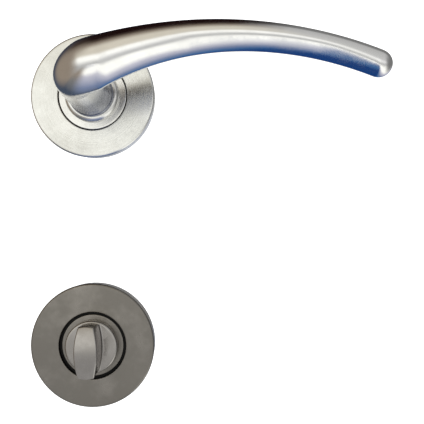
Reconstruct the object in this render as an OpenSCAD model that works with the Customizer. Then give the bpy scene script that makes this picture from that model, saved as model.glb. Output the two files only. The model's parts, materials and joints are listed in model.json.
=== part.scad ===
// Door lever on a round rose, with its matching privacy turn on a second round rose.
//
// The door face is the plane y = 0, and the origin is the lever's spindle axis on it.
// The set stands out along -Y, the arm runs along +X, and the spindles, lugs and screws
// reach into the door along +Y.
//
// Each piece is drawn on a bench: z is its height off the door, x is to the right and y is up.
// on_lever_axis() and on_turn_axis() then stand the piece on the door.

/* [Roses] */
// Outer diameter of both roses
rose_d = 52; // [51:0.5:56]
// Height of a rose cover off the door
rose_h = 9; // [8.8:0.1:10]
// Wall of the pressed covers
cover_wall = 1.2; // [1:0.1:1.3]
// Radius on a cover's outer edge
cover_edge_r = 0.8; // [0.6:0.1:2.4]
// How much smaller a cover is at the door than at its front edge
cover_draft = 0.4; // [0:0.1:0.6]
// Distance between the lever's axis and the turn's axis
axis_distance = 105; // [72:1:120]
// Distance between the two fixing bolts of a rose
bolt_distance = 38; // [38:0.1:39]

/* [Lever] */
// Height of the arm's centre line off the door
arm_h = 54; // [48:0.5:60]
// Radius of the elbow's centre line
elbow_r = 12; // [11:0.5:15]
// Slope of the arm where it leaves the elbow, in degrees
arm_rise = 20.9; // [10:0.5:25]
// Bow radius of the arm's inner half
bow_inner_r = 131; // [110:1:180]
// Bow radius of the arm's outer half
bow_outer_r = 143.5; // [120:0.5:220]
// Length of each half of the arm
half_arm = 52.4; // [45:0.1:58]
// How far the tip comes back towards the door
tip_return = 1.6; // [0:0.1:6]
// Radius of the neck where it meets the elbow
neck_r = 7.6; // [7.4:0.1:8]
// Radius of the neck near its foot
neck_foot_r = 8.9; // [8:0.1:9]
// Largest radius, in the elbow
elbow_section_r = 9.3; // [8.5:0.1:10]
// Half height of the arm near its tip
tip_r = 4.95; // [4.6:0.05:6]
// Depth of the arm near its tip, as a share of its height
tip_depth = 0.86; // [0.7:0.01:1]

/* [Privacy turn] */
// Radius of the turn's round boss
boss_r = 10.9; // [10.5:0.1:11.2]
// Height of the boss's face off the door
boss_top = 12.4; // [11:0.1:13.5]
// Height of the blade's crown off the door
blade_top = 25; // [22:0.5:28]
// Thickness of the blade at its middle
blade_w = 9.3; // [8:0.1:11]
// Thickness of the blade at its ends
blade_end_w = 6; // [5:0.1:7.5]
// How much lower the blade's ends are than its crown
blade_crown = 1.6; // [0.8:0.1:2.4]

/* [Spindles and screws] */
// Width across the flats of the lever's square spindle
spindle_w = 8; // [7:0.5:8]
// Width across the flats of the turn's square spindle
turn_spindle_w = 5; // [5:0.5:6]
// How far both spindles reach into the door
spindle_reach = 55; // [40:1:70]
// How far the through bolts reach into the door
bolt_reach = 38; // [25:1:45]
// How far the wood screws reach into the door
screw_reach = 18; // [12:1:24]

/* [Hidden] */

$fn = 96;
gap = 0.1;             // clearance between pieces that turn past each other
bearing_gap = 0.05;    // radial clearance of a shank in its bush
cut = 1;               // how far a cutting shape runs past the face it opens

// Colours of the metals and the nylon
satin = "Silver";
zinc = "DarkGray";
steel = "LightSteelBlue";
nylon = "Ivory";

// Heights of the layers inside both roses
web_z = 5.4;           // back of the under-rose's front web
web_top = 7.4;         // front of that web
hub_r = 12;            // hole in the web, which holds a bearing ring's hub
press_gap = 0.02;
under_rose_r = rose_d / 2 - cover_wall - 0.2;
rim_chamfer = 1.8;     // keeps the under-rose clear of the inside of the cover's edge
pocket_r = 15.5;       // pocket for the spring, in the back of the under-rose
relief_in_r = 16.8;    // weight-saving reliefs round the pocket
relief_out_r = 22.8;
relief_half_angle = 22;
lug_r = 4;
lug_bore_r = 3.2;
lug_reach = 8;
fixing_r = bolt_distance / 2;

// The lever's shank, and what is stacked on it
shank_r = 8.5;
shank_end = 0.4;
shank_flat = 7.6;      // half width across the two flats that key the driver
bush_wall = 1.45;
ring_top = 8.8;        // front face of the lever's bearing ring
ring_r = 14.25;
cover_hole_r = 14.6;
clip_z = 2.1;
clip_h = 0.8;
clip_groove_r = 7.8;
clip_r = 10.2;
driver_z = 3.3;
driver_h = 1.1;
driver_hub_r = 11;
lobe_r = 15.2;
lobe_half_angle = 30;  // the driver's stop lug stands straight up at rest
lever_travel = 40;
rib_r = 13.2;          // inner radius of the two stop ribs
rib_angle = 9;
tab_angle = 152;       // the tab that winds the spring, as an angle from +Y
tab_half_angle = 5;
tab_w = 1.4;
tab_z = 1.6;
tab_in_r = 10.6;
tab_out_r = 12.4;
bush_flange_z = 4.6;

// The neck and its turned ring
ring_bead_r = 11.3;
ring_bead_h = 3.2;
bead_round = 1.7;
foot_r = 9.3;          // where the neck flares out over the ring
foot_top = 13.4;
neck_top = 16;         // the turned part of the neck ends here, in a 0.15 mm step down to the swept part
sweep_start = 14.6;
socket_top = 32;       // depth of the spindle's socket
socket_gap = 0.05;
set_screw_r = 2.5;
set_screw_z = 19;
set_screw_in = spindle_w / 2 + 0.1;
set_screw_out = 7;

// The arm's section
taper_power = 3;       // how fast the arm thins from the elbow to the tip
swell_end = 0.12;      // the section is largest at this share of the elbow and arm
cap_l = 5.4;           // length of the rounded tip
cap_power = 2.2;       // how blunt the tip is
sides = 28;
elbow_steps = 9;
arm_steps = 22;
cap_steps = 6;

// The return spring
wire_r = 0.55;
coil_r = 13.7;
coil_pitch = 1.2;
coil_turns = 1.25;
coil_z = 1.1;
leg_out_r = 17.6;
leg_in_r = 10.8;
leg_angle = 235;       // where the spring's moving leg meets the driver's tab
coil_steps = 30;
wire_sides = 8;

// The privacy turn's own stack
turn_shank_r = 6;
turn_ring_top = 7.9;
turn_ring_r = 13;
turn_cover_hole_r = 14.1;
boss_z = 8.1;
boss_round = 0.7;
turn_clip_z = 2.4;
turn_clip_groove_r = 5.3;
turn_clip_r = 7.8;
turn_washer_r = 8.4;
turn_washer_h = 0.6;
turn_bush_z = 4.2;
turn_flange_r = 9.6;
turn_socket_top = 14;
turn_set_screw_r = 1;
turn_set_screw_z = 1.3;
turn_shank_end = 0.2;

// Fasteners
bolt_r = 2;
bolt_shank_r = 1.75;
bolt_hole_r = 2.15;
thread_top = 0.2;      // the bolts' thread starts just inside the plate
bolt_head_r = 3.7;
screw_shank_r = 1.7;
screw_neck_z = 1.2;    // a wood screw's thread starts just inside the plate
screw_core_r = 1.3;
screw_thread_r = 1.9;
thread_pitch = 1.6;
head_gap = 0.25;       // a screw head's clearance in its countersink
cross_w = 0.9;
cross_l = 4.2;
cross_h = 1.3;

// ---- Placing -------------------------------------------------------------------------------

module on_lever_axis() {
    rotate([90, 0, 0]) children();
}

module on_turn_axis() {
    translate([0, 0, -axis_distance]) rotate([90, 0, 0]) children();
}

// ---- Shapes used more than once ------------------------------------------------------------

function degrees(radians) = radians * 180 / PI;

// Points of a quarter circle, from angle a to angle b
function arc(c, r, a, b, n = 6) = [
    for (i = [0:n]) let (t = a + (b - a) * i / n) c + r * [cos(t), sin(t)]
];

module tube(r_in, r_out, z0, z1) {
    translate([0, 0, z0]) difference() {
        cylinder(r = r_out, h = z1 - z0);
        translate([0, 0, -cut]) cylinder(r = r_in, h = z1 - z0 + 2 * cut);
    }
}

// A piece of a ring between two angles
module ring_sector(r_in, r_out, a0, a1, z0, z1) {
    rotate([0, 0, a0]) rotate_extrude(angle = a1 - a0)
        translate([r_in, z0]) square([r_out - r_in, z1 - z0]);
}

module square_bar(w, z0, z1) {
    translate([-w / 2, -w / 2, z0]) cube([w, w, z1 - z0]);
}

// A closed skin over rings of points, with a flat lid on the first and the last ring
module skin(rings) {
    n = len(rings[0]);
    last = len(rings) - 1;
    points = [for (ring = rings) for (p = ring) p];
    walls = [for (i = [0:last - 1]) for (j = [0:n - 1]) for (half = [0, 1])
        let (a = i * n + j, b = i * n + (j + 1) % n)
        half == 0 ? [a, b + n, b] : [a, a + n, b + n]];
    first_lid = [for (j = [1:n - 2]) [0, j, j + 1]];
    last_lid = [for (j = [1:n - 2]) [last * n, last * n + j + 1, last * n + j]];
    polyhedron(points, concat(first_lid, walls, last_lid));
}

// ---- Both roses ----------------------------------------------------------------------------

module rose_cover(hole_r) {
    r = rose_d / 2;
    e = cover_edge_r;
    inner_e = max(cover_edge_r - cover_wall / 2, 0.2);
    color(satin) rotate_extrude() polygon(concat(
        [[r - cover_wall, 0], [r - cover_draft, 0]],
        arc([r - e, rose_h - e], e, 0, 90),
        [[hole_r, rose_h], [hole_r, rose_h - cover_wall]],
        arc([r - cover_wall - inner_e, rose_h - cover_wall - inner_e], inner_e, 90, 0)
    ));
}

// Die-cast plate under a cover. Its two lugs go into the door.
module under_rose(with_stops) {
    color(zinc) difference() {
        union() {
            difference() {
                rotate_extrude() polygon([
                    [0, 0], [under_rose_r, 0], [under_rose_r, web_top - rim_chamfer],
                    [under_rose_r - rim_chamfer, web_top], [0, web_top]
                ]);
                translate([0, 0, -cut]) cylinder(r = pocket_r, h = web_z + cut);
                for (a = [45:90:315])
                    ring_sector(relief_in_r, relief_out_r, a - relief_half_angle, a + relief_half_angle,
                                -cut, web_z);
            }
            for (x = [-fixing_r, fixing_r])
                translate([x, 0, -lug_reach]) cylinder(r = lug_r, h = lug_reach + web_z / 2);
            if (with_stops) {
                rest_stop = 90 + lobe_half_angle + 0.4;
                end_stop = 90 - lobe_half_angle - lever_travel - 0.4;
                for (a = [rest_stop, end_stop - rib_angle])
                    ring_sector(rib_r, pocket_r + 0.3, a, a + rib_angle, driver_z, web_z + 0.3);
            }
        }
        translate([0, 0, -cut]) cylinder(r = hub_r, h = web_top + 2 * cut);
        for (a = [0:90:270])
            rotate([0, 0, a]) translate([fixing_r, 0, 0]) {
                translate([0, 0, -cut]) cylinder(r = bolt_hole_r, h = web_top + 2 * cut);
                countersink(web_top + 0.01, head_gap);
            }
        for (x = [-fixing_r, fixing_r])
            translate([x, 0, -lug_reach - cut])
                cylinder(r = lug_bore_r, h = lug_reach + cut + thread_top + gap);
        if (with_stops) spring_slot();
    }
}

// The cone that a countersunk head fills, or, with a clearance, the seat it sits in
module countersink(top, clearance) {
    depth = bolt_head_r - bolt_r;
    translate([0, 0, top - depth])
        cylinder(r1 = bolt_r + clearance, r2 = bolt_head_r + clearance, h = depth);
}

// Slot in the pocket's wall that holds the spring's fixed leg
module spring_slot() {
    rotate([0, 0, leg_angle + 360 * coil_turns]) translate([pocket_r - cut, -wire_r - 0.1, -cut])
        cube([relief_in_r - pocket_r + 2 * cut, 2 * wire_r + 0.2, coil_z + wire_r + 0.2 + cut]);
}

// Flat ring that shows inside the cover's hole. Its hub is pressed into the under-rose.
module bearing_ring(bore_r, flange_r, top) {
    color(satin) difference() {
        union() {
            translate([0, 0, web_z]) cylinder(r = hub_r - press_gap, h = web_top - web_z);
            translate([0, 0, web_top]) cylinder(r = flange_r, h = top - web_top);
        }
        translate([0, 0, web_z - cut]) cylinder(r = bore_r, h = top - web_z + 2 * cut);
    }
}

module cross_slot(top) {
    for (a = [0, 90])
        rotate([0, 0, a]) translate([-cross_l / 2, -cross_w / 2, top - cross_h])
            cube([cross_l, cross_w, cross_h + cut]);
}

// Countersunk bolts: a slim plain shank inside the plate, and the thread from the door face on
module through_bolts() {
    top = web_top - 0.1;
    color(steel) for (x = [-fixing_r, fixing_r])
        translate([x, 0, 0]) difference() {
            union() {
                countersink(top, 0);
                cylinder(r = bolt_shank_r, h = top - bolt_head_r + bolt_r);
                translate([0, 0, -bolt_reach]) cylinder(r = bolt_r, h = bolt_reach + thread_top);
            }
            cross_slot(top);
        }
}

module wood_screws() {
    top = web_top - 0.1;
    neck_z = top - bolt_head_r + screw_shank_r;
    turns = floor((screw_reach - thread_pitch) / thread_pitch);
    ridges = [for (i = [0:turns - 1]) let (z = -i * thread_pitch)
        each [[screw_core_r, z], [screw_thread_r, z - thread_pitch / 2]]];
    color(steel) for (y = [-fixing_r, fixing_r])
        translate([0, y, 0]) difference() {
            rotate_extrude() polygon(concat(
                [[0, top], [bolt_head_r, top], [screw_shank_r, neck_z], [screw_shank_r, screw_neck_z]],
                ridges,
                [[screw_core_r, -turns * thread_pitch], [0, -screw_reach]]
            ));
            cross_slot(top);
        }
}

// Flat wedge about +Y, from the axis outwards
module wedge_outline(half_angle, reach) {
    polygon([[0, 0], for (side = [1, -1]) reach * [side * sin(half_angle), cos(half_angle)]]);
}

// Open retaining ring with its two lugs, each drilled for the pliers
module circlip(groove_r, outer_r, z) {
    lug = 1.1;
    lug_hole = 0.45;
    mouth = 22;                // half the angle of the opening
    lug_angle = mouth + 8;
    color(steel) translate([0, 0, z]) linear_extrude(clip_h) difference() {
        union() {
            circle(r = outer_r - 0.6);
            for (side = [-1, 1])
                rotate([0, 0, side * lug_angle]) translate([0, outer_r - lug]) circle(r = lug);
        }
        circle(r = groove_r);
        wedge_outline(mouth, 3 * outer_r);
        for (side = [-1, 1])
            rotate([0, 0, side * lug_angle]) translate([0, outer_r - lug]) circle(r = lug_hole);
    }
}

module set_screw(r, inner, outer) {
    color(steel) translate([0, inner, 0]) rotate([-90, 0, 0]) difference() {
        cylinder(r = r, h = outer - inner);
        translate([0, 0, (outer - inner) / 2]) cylinder(r = r / 2, h = outer - inner, $fn = 6);
    }
}

// ---- Lever ---------------------------------------------------------------------------------

arm_l = 2 * half_arm;
elbow_l = elbow_r * PI / 2;
sweep_l = elbow_l + arm_l;

// Slope of the arm at distance s from the elbow
function arm_slope(s) =
    arm_rise - degrees(min(s, half_arm) / bow_inner_r + max(s - half_arm, 0) / bow_outer_r);

// A point that moves along a bow from a start point, with the bow's radius, first and last slope
function along_bow(start, r, a, b) = start + r * [sin(a) - sin(b), cos(b) - cos(a)];

elbow_end = elbow_r * [cos(arm_rise), sin(arm_rise)];
mid_arm = along_bow(elbow_end, bow_inner_r, arm_rise, arm_slope(half_arm));
function arm_point(s) = s <= half_arm
    ? along_bow(elbow_end, bow_inner_r, arm_rise, arm_slope(s))
    : along_bow(mid_arm, bow_outer_r, arm_slope(half_arm), arm_slope(s));
function arm_height(s) = arm_h - tip_return * pow(s / arm_l, 2);

// Half height of the section, at share u of the elbow and arm
function section_r(u) = u < swell_end
    ? neck_r + (elbow_section_r - neck_r) * (1 - cos(180 * u / swell_end)) / 2
    : tip_r + (elbow_section_r - tip_r) * pow(1 - (u - swell_end) / (1 - swell_end), taper_power);
function section_depth(u) = section_r(u) * (1 + (tip_depth - 1) * u);

// A ring of the sweep: its centre, its two half axes and how far it is scaled down
function ring_at(centre, u_axis, w_axis, u, k = 1) = [for (j = [0:sides - 1])
    let (a = 360 * j / sides)
    centre + k * (section_r(u) * cos(a) * u_axis + section_depth(u) * sin(a) * w_axis)];

function arm_ring(s, k = 1) = let (p = arm_point(s), a = arm_slope(s))
    ring_at([p[0], p[1], arm_height(s)], [-sin(a), cos(a), 0], [0, 0, 1], (elbow_l + s) / sweep_l, k);

function elbow_ring(t) = let (p = elbow_r * (1 - cos(t)), z = arm_h - elbow_r + elbow_r * sin(t))
    ring_at([p * cos(arm_rise), p * sin(arm_rise), z], [-sin(arm_rise), cos(arm_rise), 0],
            [-cos(t) * cos(arm_rise), -cos(t) * sin(arm_rise), sin(t)], elbow_l * t / 90 / sweep_l);

module lever_sweep() {
    start_r = neck_foot_r - 0.1;
    start = [for (j = [0:sides - 1]) let (a = 360 * j / sides)
        [-start_r * (sin(arm_rise) * cos(a) + cos(arm_rise) * sin(a)),
         start_r * (cos(arm_rise) * cos(a) - sin(arm_rise) * sin(a)), sweep_start]];
    elbow = [for (i = [0:elbow_steps]) elbow_ring(90 * i / elbow_steps)];
    arm = [for (i = [1:arm_steps]) arm_ring((arm_l - cap_l) * i / arm_steps)];
    cap = [for (i = [1:cap_steps]) let (v = sin(90 * i / (cap_steps + 0.4)))
        arm_ring(arm_l - cap_l + cap_l * v, sqrt(1 - pow(v, cap_power)))];
    skin(concat([start], elbow, arm, cap));
}

module lever_handle() {
    neck_z = ring_top + gap + ring_bead_h;
    color(satin) difference() {
        union() {
            rotate_extrude() polygon(concat(
                [[0, shank_end], [shank_r, shank_end], [shank_r, neck_z]],
                [[foot_r, neck_z], [foot_r, neck_z + 0.5]],
                arc([foot_r, foot_top + 0.5], foot_r - neck_foot_r, 270, 180),
                [[neck_foot_r, neck_top], [0, neck_top]]
            ));
            lever_sweep();
        }
        square_bar(spindle_w + 2 * socket_gap, shank_end - cut, socket_top);
        tube(clip_groove_r, shank_r + cut, clip_z, clip_z + clip_h);
        for (side = [0, 180])
            rotate([0, 0, side]) translate([shank_flat, -shank_r, shank_end - cut])
                cube([cut + shank_r, 2 * shank_r, driver_z + driver_h - shank_end + cut]);
        translate([0, 0, set_screw_z]) rotate([-90, 0, 0]) cylinder(r = set_screw_r, h = neck_foot_r + cut);
    }
}

module neck_ring() {
    z0 = ring_top + gap;
    z1 = z0 + ring_bead_h;
    color(satin) rotate_extrude() polygon(concat(
        [[shank_r, z0], [ring_bead_r, z0]],
        arc([ring_bead_r - bead_round, z1 - bead_round], bead_round, 0, 90),
        [[shank_r, z1]]
    ));
}

module lever_set_screw() {
    translate([0, 0, set_screw_z]) set_screw(set_screw_r, set_screw_in, set_screw_out);
}

// Plate that the shank turns: its lug meets the two stops, and its tab winds the spring
module spring_driver() {
    color(steel) {
        translate([0, 0, driver_z]) linear_extrude(driver_h) difference() {
            union() {
                circle(r = driver_hub_r);
                intersection() {
                    circle(r = lobe_r);
                    wedge_outline(lobe_half_angle, 3 * lobe_r);
                }
                intersection() {
                    circle(r = tab_out_r);
                    rotate([0, 0, tab_angle]) wedge_outline(tab_half_angle, 3 * tab_out_r);
                }
            }
            intersection() {
                circle(r = shank_r);
                square([2 * shank_flat, 3 * shank_r], center = true);
            }
        }
        rotate([0, 0, tab_angle]) translate([-tab_w / 2, tab_in_r, tab_z])
            cube([tab_w, tab_out_r - tab_in_r - 0.2, driver_z - tab_z + driver_h / 2]);
    }
}

// Torsion spring: a leg in the pocket's slot, the coil, and a leg against the driver's tab
module return_spring() {
    fixed_angle = leg_angle + 360 * coil_turns;
    top_z = coil_z + coil_pitch * coil_turns;
    function at(r, a, z) = [r * cos(a), r * sin(a), z];
    path = concat(
        [at(leg_out_r, fixed_angle, coil_z)],
        [for (i = [0:coil_steps]) let (t = i / coil_steps)
            at(coil_r, fixed_angle - 360 * coil_turns * t, coil_z + (top_z - coil_z) * t)],
        [at(leg_in_r, leg_angle, top_z)]
    );
    last = len(path) - 1;
    rings = [for (i = [0:last])
        let (
            ahead = path[min(i + 1, last)] - path[max(i - 1, 0)],
            along = ahead / norm(ahead),
            side = cross([0, 0, 1], along) / norm(cross([0, 0, 1], along)),
            up = cross(along, side)
        )
        [for (j = [0:wire_sides - 1]) let (a = 360 * j / wire_sides)
            path[i] + wire_r * (cos(a) * side + sin(a) * up)]];
    color(steel) skin(rings);
}

module lever_bush() {
    color(nylon) {
        difference() {
            union() {
                translate([0, 0, bush_flange_z]) cylinder(r = hub_r - 0.2, h = web_z - bush_flange_z);
                translate([0, 0, web_z])
                    cylinder(r = shank_r + bush_wall + bearing_gap, h = ring_top - 0.2 - web_z);
            }
            translate([0, 0, bush_flange_z - cut]) cylinder(r = shank_r + bearing_gap, h = ring_top);
        }
    }
}

module lever_spindle() {
    color(steel) square_bar(spindle_w, -spindle_reach, socket_top - 1);
}

// ---- Privacy turn --------------------------------------------------------------------------

// Blade: its two sides are shallow arcs, its ends follow the boss and its front is crowned
module blade() {
    side_sag = (blade_w - blade_end_w) / 2;
    side_r = (pow(boss_r, 2) + pow(side_sag, 2)) / (2 * side_sag);
    crown_r = (pow(boss_r, 2) + pow(blade_crown, 2)) / (2 * blade_crown);
    intersection() {
        translate([0, 0, boss_top - cut]) cylinder(r = boss_r - 0.05, h = blade_top);
        translate([blade_w / 2 - side_r, 0, boss_top - cut]) cylinder(r = side_r, h = blade_top);
        translate([side_r - blade_w / 2, 0, boss_top - cut]) cylinder(r = side_r, h = blade_top);
        translate([-boss_r, 0, blade_top - crown_r]) rotate([0, 90, 0]) cylinder(r = crown_r, h = 2 * boss_r);
    }
}

module turn_knob() {
    color(satin) difference() {
        union() {
            rotate_extrude() polygon(concat(
                [[0, turn_shank_end], [turn_shank_r, turn_shank_end]],
                [[turn_shank_r, boss_z], [boss_r, boss_z]],
                arc([boss_r - boss_round, boss_top - boss_round], boss_round, 0, 90),
                [[0, boss_top]]
            ));
            blade();
        }
        square_bar(turn_spindle_w + 2 * socket_gap, turn_shank_end - cut, turn_socket_top);
        tube(turn_clip_groove_r, turn_shank_r + cut, turn_clip_z, turn_clip_z + clip_h);
        translate([0, 0, turn_set_screw_z]) rotate([-90, 0, 0])
            cylinder(r = turn_set_screw_r, h = turn_shank_r + cut);
    }
}

module turn_set_screw() {
    translate([0, 0, turn_set_screw_z])
        set_screw(turn_set_screw_r, turn_spindle_w / 2 + 0.1, turn_shank_r - 0.2);
}

// Thin washer pressed into a wave, drawn as a plain ring at its working height
module turn_wave_washer() {
    z = turn_clip_z + clip_h + gap / 2;
    color(steel) tube(turn_shank_r + bearing_gap, turn_washer_r, z, z + turn_washer_h);
}

module turn_bush() {
    color(nylon) difference() {
        union() {
            translate([0, 0, turn_bush_z]) cylinder(r = turn_flange_r, h = web_z - turn_bush_z);
            translate([0, 0, web_z])
                cylinder(r = turn_shank_r + bush_wall + bearing_gap, h = turn_ring_top - 0.1 - web_z);
        }
        translate([0, 0, turn_bush_z - cut]) cylinder(r = turn_shank_r + bearing_gap, h = turn_ring_top);
    }
}

module turn_spindle() {
    color(steel) square_bar(turn_spindle_w, -spindle_reach, turn_socket_top - 1);
}

// ---- Assembly ------------------------------------------------------------------------------

on_lever_axis() lever_handle();
on_lever_axis() neck_ring();
on_lever_axis() lever_set_screw();
on_lever_axis() spring_driver();
on_lever_axis() circlip(clip_groove_r, clip_r, clip_z);  // lever_circlip
on_lever_axis() lever_spindle();
on_lever_axis() return_spring();
on_lever_axis() rose_cover(cover_hole_r);  // lever_rose_cover
on_lever_axis() bearing_ring(shank_r + bush_wall + bearing_gap, ring_r, ring_top);  // lever_bearing_ring
on_lever_axis() lever_bush();
on_lever_axis() under_rose(true);  // lever_under_rose
on_lever_axis() through_bolts();  // lever_through_bolts
on_lever_axis() wood_screws();  // lever_wood_screws
on_turn_axis() turn_knob();
on_turn_axis() turn_set_screw();
on_turn_axis() circlip(turn_clip_groove_r, turn_clip_r, turn_clip_z);  // turn_circlip
on_turn_axis() turn_wave_washer();
on_turn_axis() turn_spindle();
on_turn_axis() rose_cover(turn_cover_hole_r);  // turn_rose_cover
on_turn_axis() bearing_ring(turn_shank_r + bush_wall + bearing_gap, turn_ring_r, turn_ring_top);  // turn_bearing_ring
on_turn_axis() turn_bush();
on_turn_axis() under_rose(false);  // turn_under_rose
on_turn_axis() through_bolts();  // turn_through_bolts
on_turn_axis() wood_screws();  // turn_wood_screws
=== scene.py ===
"""Door lever on a round rose, with its matching privacy turn on a second rose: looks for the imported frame.

Pieces are drawn on a bench, in millimetres: z is the height off the door, x is to the right and y is up.
to_door() stands them on the door, in the frame's metres: the door face is y = 0, and the set is at y below 0.
"""
import json
import math

import bmesh
import bpy
import numpy as np
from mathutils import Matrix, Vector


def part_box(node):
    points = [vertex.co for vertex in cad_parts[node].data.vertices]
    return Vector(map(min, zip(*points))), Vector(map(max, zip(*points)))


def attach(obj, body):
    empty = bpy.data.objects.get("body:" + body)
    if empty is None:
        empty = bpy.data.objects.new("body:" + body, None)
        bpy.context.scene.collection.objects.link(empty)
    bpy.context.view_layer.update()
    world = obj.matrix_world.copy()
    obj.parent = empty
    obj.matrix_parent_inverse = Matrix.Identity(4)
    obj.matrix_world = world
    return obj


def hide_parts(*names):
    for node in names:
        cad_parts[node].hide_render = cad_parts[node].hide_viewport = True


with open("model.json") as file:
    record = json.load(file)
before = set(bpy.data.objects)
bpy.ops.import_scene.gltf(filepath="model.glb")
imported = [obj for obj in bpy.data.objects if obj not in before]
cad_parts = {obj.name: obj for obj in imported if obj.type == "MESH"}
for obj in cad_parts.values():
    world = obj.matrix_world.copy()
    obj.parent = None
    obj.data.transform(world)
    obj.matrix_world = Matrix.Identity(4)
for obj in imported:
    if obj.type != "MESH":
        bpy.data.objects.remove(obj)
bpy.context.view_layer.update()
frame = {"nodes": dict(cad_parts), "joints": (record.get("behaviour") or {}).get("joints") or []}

MM = 0.001

# ---- Sizes, in millimetres -----------------------------------------------------------------------------


def axis_height(joint_name):
    """How far up the door a joint's axis is."""
    joint = next(j for j in frame["joints"] if j["name"] == joint_name)
    return joint["pos_m"][2] / MM


def outer_radius(node):
    """Largest radius of a round node, from its width."""
    low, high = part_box(node)
    return (high.x - low.x) / 2 / MM


def front(node):
    """Height of a node's front face off the door."""
    return -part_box(node)[0].y / MM


def back(node):
    """Height of a node's back off the door: below zero inside the door."""
    return -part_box(node)[1].y / MM


LEVER_Z = axis_height("lever_turn")
TURN_Z = axis_height("thumb_turn")

ROSE_R = outer_radius("lever_rose_cover")
ROSE_TOP = front("lever_rose_cover")
ROSE_WALL = 1.2
ROSE_EDGE_R = 0.9
ROSE_DRAFT = 0.4
COVER_HOLE_R = 14.6
TURN_HOLE_R = 14.1

RING_R = outer_radius("lever_bearing_ring")
RING_TOP = front("lever_bearing_ring")
RING_BACK = back("lever_bearing_ring")
TURN_RING_R = outer_radius("turn_bearing_ring")
TURN_RING_TOP = front("turn_bearing_ring")
HUB_R = 11.98
HUB_TOP = 7.4
BUSH_R = 10
TURN_BUSH_R = 7.5

BEAD_R = outer_radius("neck_ring")
BEAD_BACK = back("neck_ring")
BEAD_TOP = front("neck_ring")

# The lever's turned part, from the shank's end to the neck
SHANK_R = 8.5
SHANK_END = 0.4
SHANK_FLAT = 7.6
FLAT_TOP = 4.4
GROOVE = (2.1, 2.9, 7.8)           # from, to, and the radius at its bottom
FOOT_R = 9.3
NECK_R = 7.6
NECK_FOOT_R = 8.9
NECK_BULGE = 0.12
SOCKET_W = 8.1
SOCKET_TOP = 32
SET_SCREW_Z = 19
SET_SCREW_R = 2.5

# The elbow and the arm
ARM_H = 54
ELBOW_R = 12
ARM_RISE = math.radians(20.9)
BOW_INNER_R = 131
BOW_OUTER_R = 143.5
HALF_ARM = 52.4
ARM_L = 2 * HALF_ARM
ELBOW_L = ELBOW_R * math.pi / 2
SWEEP_L = ELBOW_L + ARM_L
TIP_RETURN = 1.6
ELBOW_SECTION_R = 9.3
TIP_R = 4.95
TIP_DEPTH = 0.86
TAPER_POWER = 3
SWELL_END = 0.12
CAP_L = 5.4
CAP_POWER = 2.2

# The privacy turn
BOSS_R = 10.9
BOSS_BACK = 8.1
BOSS_TOP = 12.4
BOSS_ROUND = 0.75
BLADE_TOP = front("turn_knob")
BLADE_W = 9.3
BLADE_END_W = 6
BLADE_CROWN = 1.6
BLADE_ROUND = 0.55
BLADE_FILLET = 0.6
BLADE_STEPS = 14
TURN_SHANK_R = 6
TURN_SHANK_END = 0.2
TURN_GROOVE = (2.4, 3.2, 5.3)
TURN_SOCKET_W = 5.1
TURN_SOCKET_TOP = 14
TURN_SET_SCREW_Z = 1.3
TURN_SET_SCREW_R = 1

# Fasteners and springs
FIXING_R = 19
HEAD_TOP = 7.3
HEAD_R = 3.7
BOLT_R = 2
BOLT_CORE_R = 1.62
BOLT_PITCH = 0.7
BOLT_SHANK_R = 1.75
BOLT_THREAD_TOP = 0.2
WOOD_R = 1.9
WOOD_CORE_R = 1.25
WOOD_PITCH = 1.6
WOOD_NECK = 1.2
WIRE_R = 0.55
COIL_R = 13.7
COIL_TURNS = 1.25
COIL_PITCH = 1.2
COIL_Z = 1.1
LEG_OUT_R = 17.6
LEG_IN_R = 10.8
LEG_ANGLE = math.radians(235)
WASHER_TURNS = 3

SIDES = 96                          # round a revolved piece
ARM_SIDES = 72
NECK_STEPS = 14
ELBOW_STEPS = 36
ARM_STEPS = 110
CAP_STEPS = 18
COIL_STEPS = 76
WIRE_SIDES = 14


# ---- Mesh helpers --------------------------------------------------------------------------------------


def to_door(points, axis_z=0.0):
    """Bench millimetres to the frame's metres, for an axis at this height on the door."""
    p = np.asarray(points, float)
    return np.stack([p[:, 0], -p[:, 2], p[:, 1] + axis_z], axis=1) * MM


def finish_mesh(obj, sharp_angle=32):
    """Merges doubled points, turns the normals outwards, and shades smooth but for the sharp edges."""
    mesh = bmesh.new()
    mesh.from_mesh(obj.data)
    bmesh.ops.remove_doubles(mesh, verts=mesh.verts, dist=1e-6)
    bmesh.ops.dissolve_degenerate(mesh, edges=mesh.edges, dist=1e-7)
    bmesh.ops.recalc_face_normals(mesh, faces=mesh.faces)
    limit = math.radians(sharp_angle)
    for face in mesh.faces:
        face.smooth = True
    for edge in mesh.edges:
        if len(edge.link_faces) == 2:
            edge.smooth = edge.calc_face_angle(0) < limit
    mesh.to_mesh(obj.data)
    mesh.free()
    return obj


def new_piece(name, points, faces, axis_z, sharp_angle=32):
    """An object in the scene, from bench points and faces."""
    mesh = bpy.data.meshes.new(name)
    mesh.from_pydata([tuple(p) for p in to_door(points, axis_z)], [], faces)
    mesh.validate()
    obj = bpy.data.objects.new(name, mesh)
    bpy.context.scene.collection.objects.link(obj)
    return finish_mesh(obj, sharp_angle)


def shell(rings, closed=False):
    """Points and faces of a skin over equal rings: with a lid on both ends, or closed end to end."""
    n = len(rings[0])
    points = [p for ring in rings for p in ring]
    faces = []
    count = len(rings)
    for i in range(count if closed else count - 1):
        here, there = i * n, (i + 1) % count * n
        for j in range(n):
            k = (j + 1) % n
            faces.append((here + j, here + k, there + k, there + j))
    if not closed:
        faces.append(tuple(reversed(range(n))))
        faces.append(tuple(range((count - 1) * n, count * n)))
    return points, faces


def circle(r, z, n=SIDES):
    """A level ring of points."""
    return [(r * math.cos(2 * math.pi * j / n), r * math.sin(2 * math.pi * j / n), z) for j in range(n)]


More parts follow.
